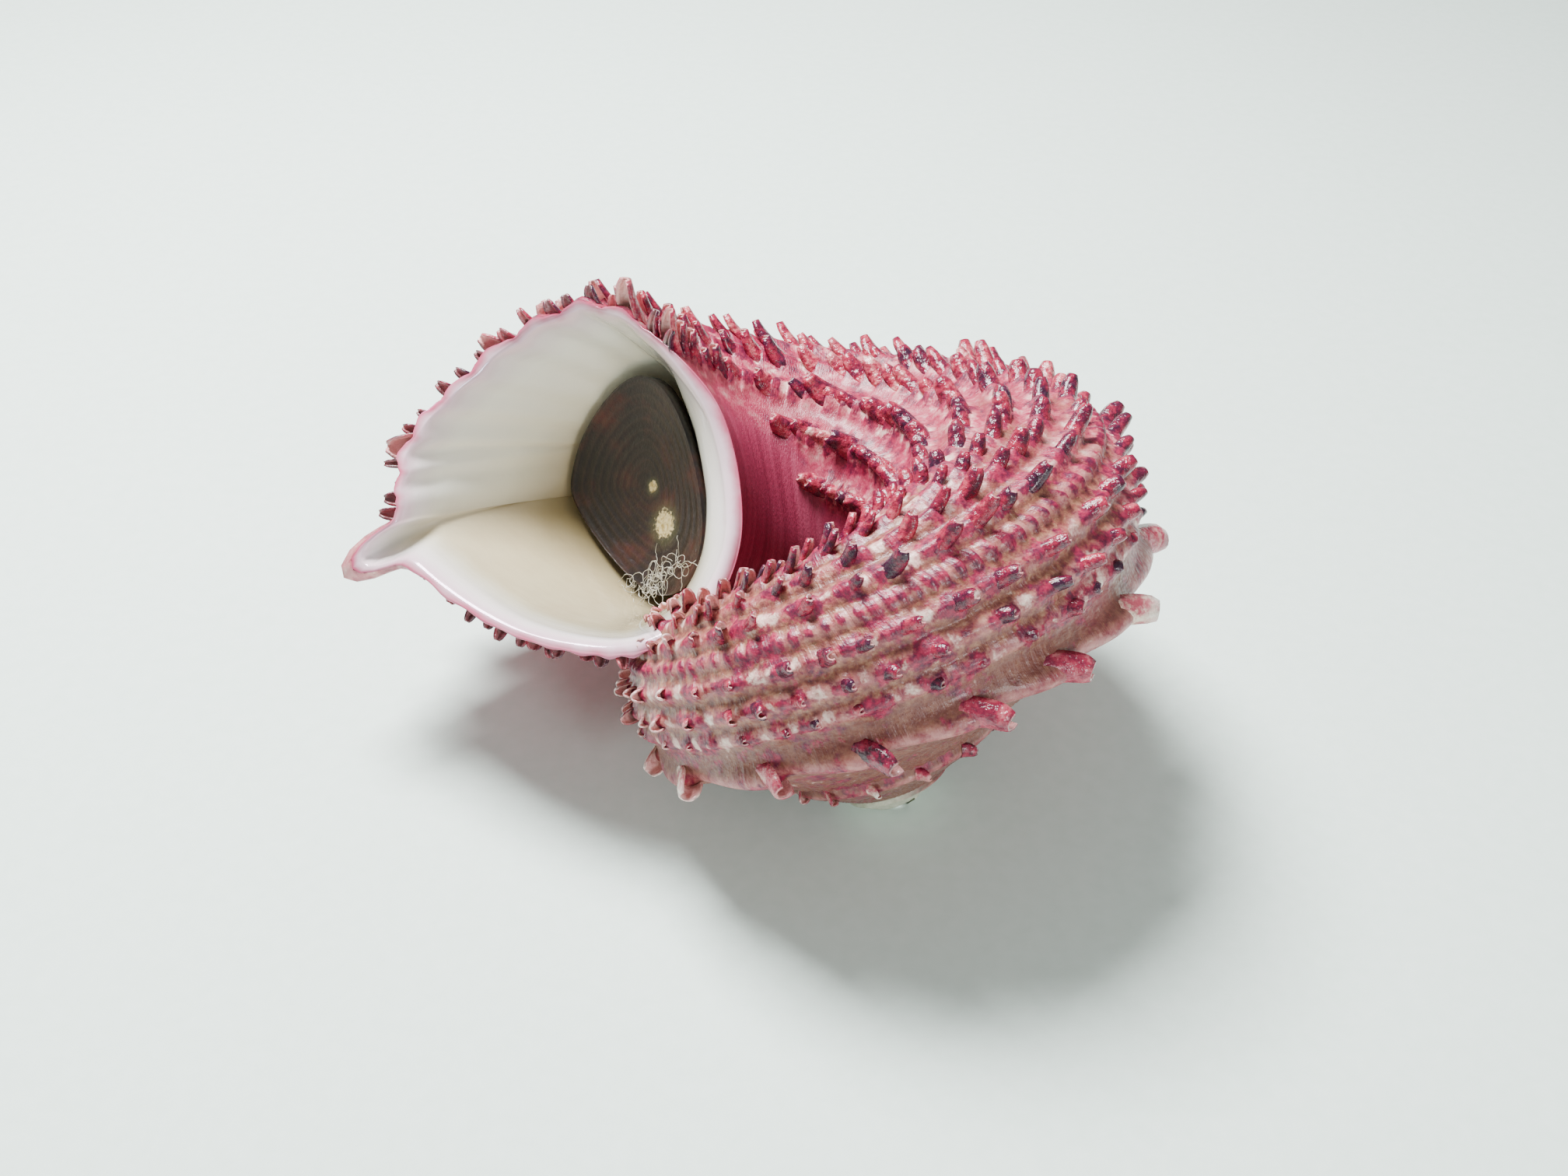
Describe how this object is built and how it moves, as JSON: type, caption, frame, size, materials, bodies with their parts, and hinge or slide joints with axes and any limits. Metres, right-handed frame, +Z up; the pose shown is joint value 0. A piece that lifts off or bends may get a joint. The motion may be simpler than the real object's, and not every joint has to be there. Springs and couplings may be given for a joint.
{
  "type": "dolphin snail shell",
  "caption": "Right-handed coiled sea snail shell with a spiny shoulder, scaly cords, a round pearly mouth and its dark horny operculum, resting spire down.",
  "frame": {"origin": "centre of the bounding box on the surface that the shell rests on", "axes": "+Z up from the resting surface, +X towards the side away from the mouth, -Y towards the viewer who looks into the mouth"},
  "size_m": [0.052, 0.0428, 0.0278],
  "materials": {
    "shell": "natural calcium carbonate shell, crimson, pink and cream, chalky to glossy, with a pearly white lining",
    "operculum": "dark brown horn with a soft gloss and fine concentric growth lines"
  },
  "bodies": {
    "root": {"shell": "shell", "operculum": "operculum"}
  },
  "joints": []
}
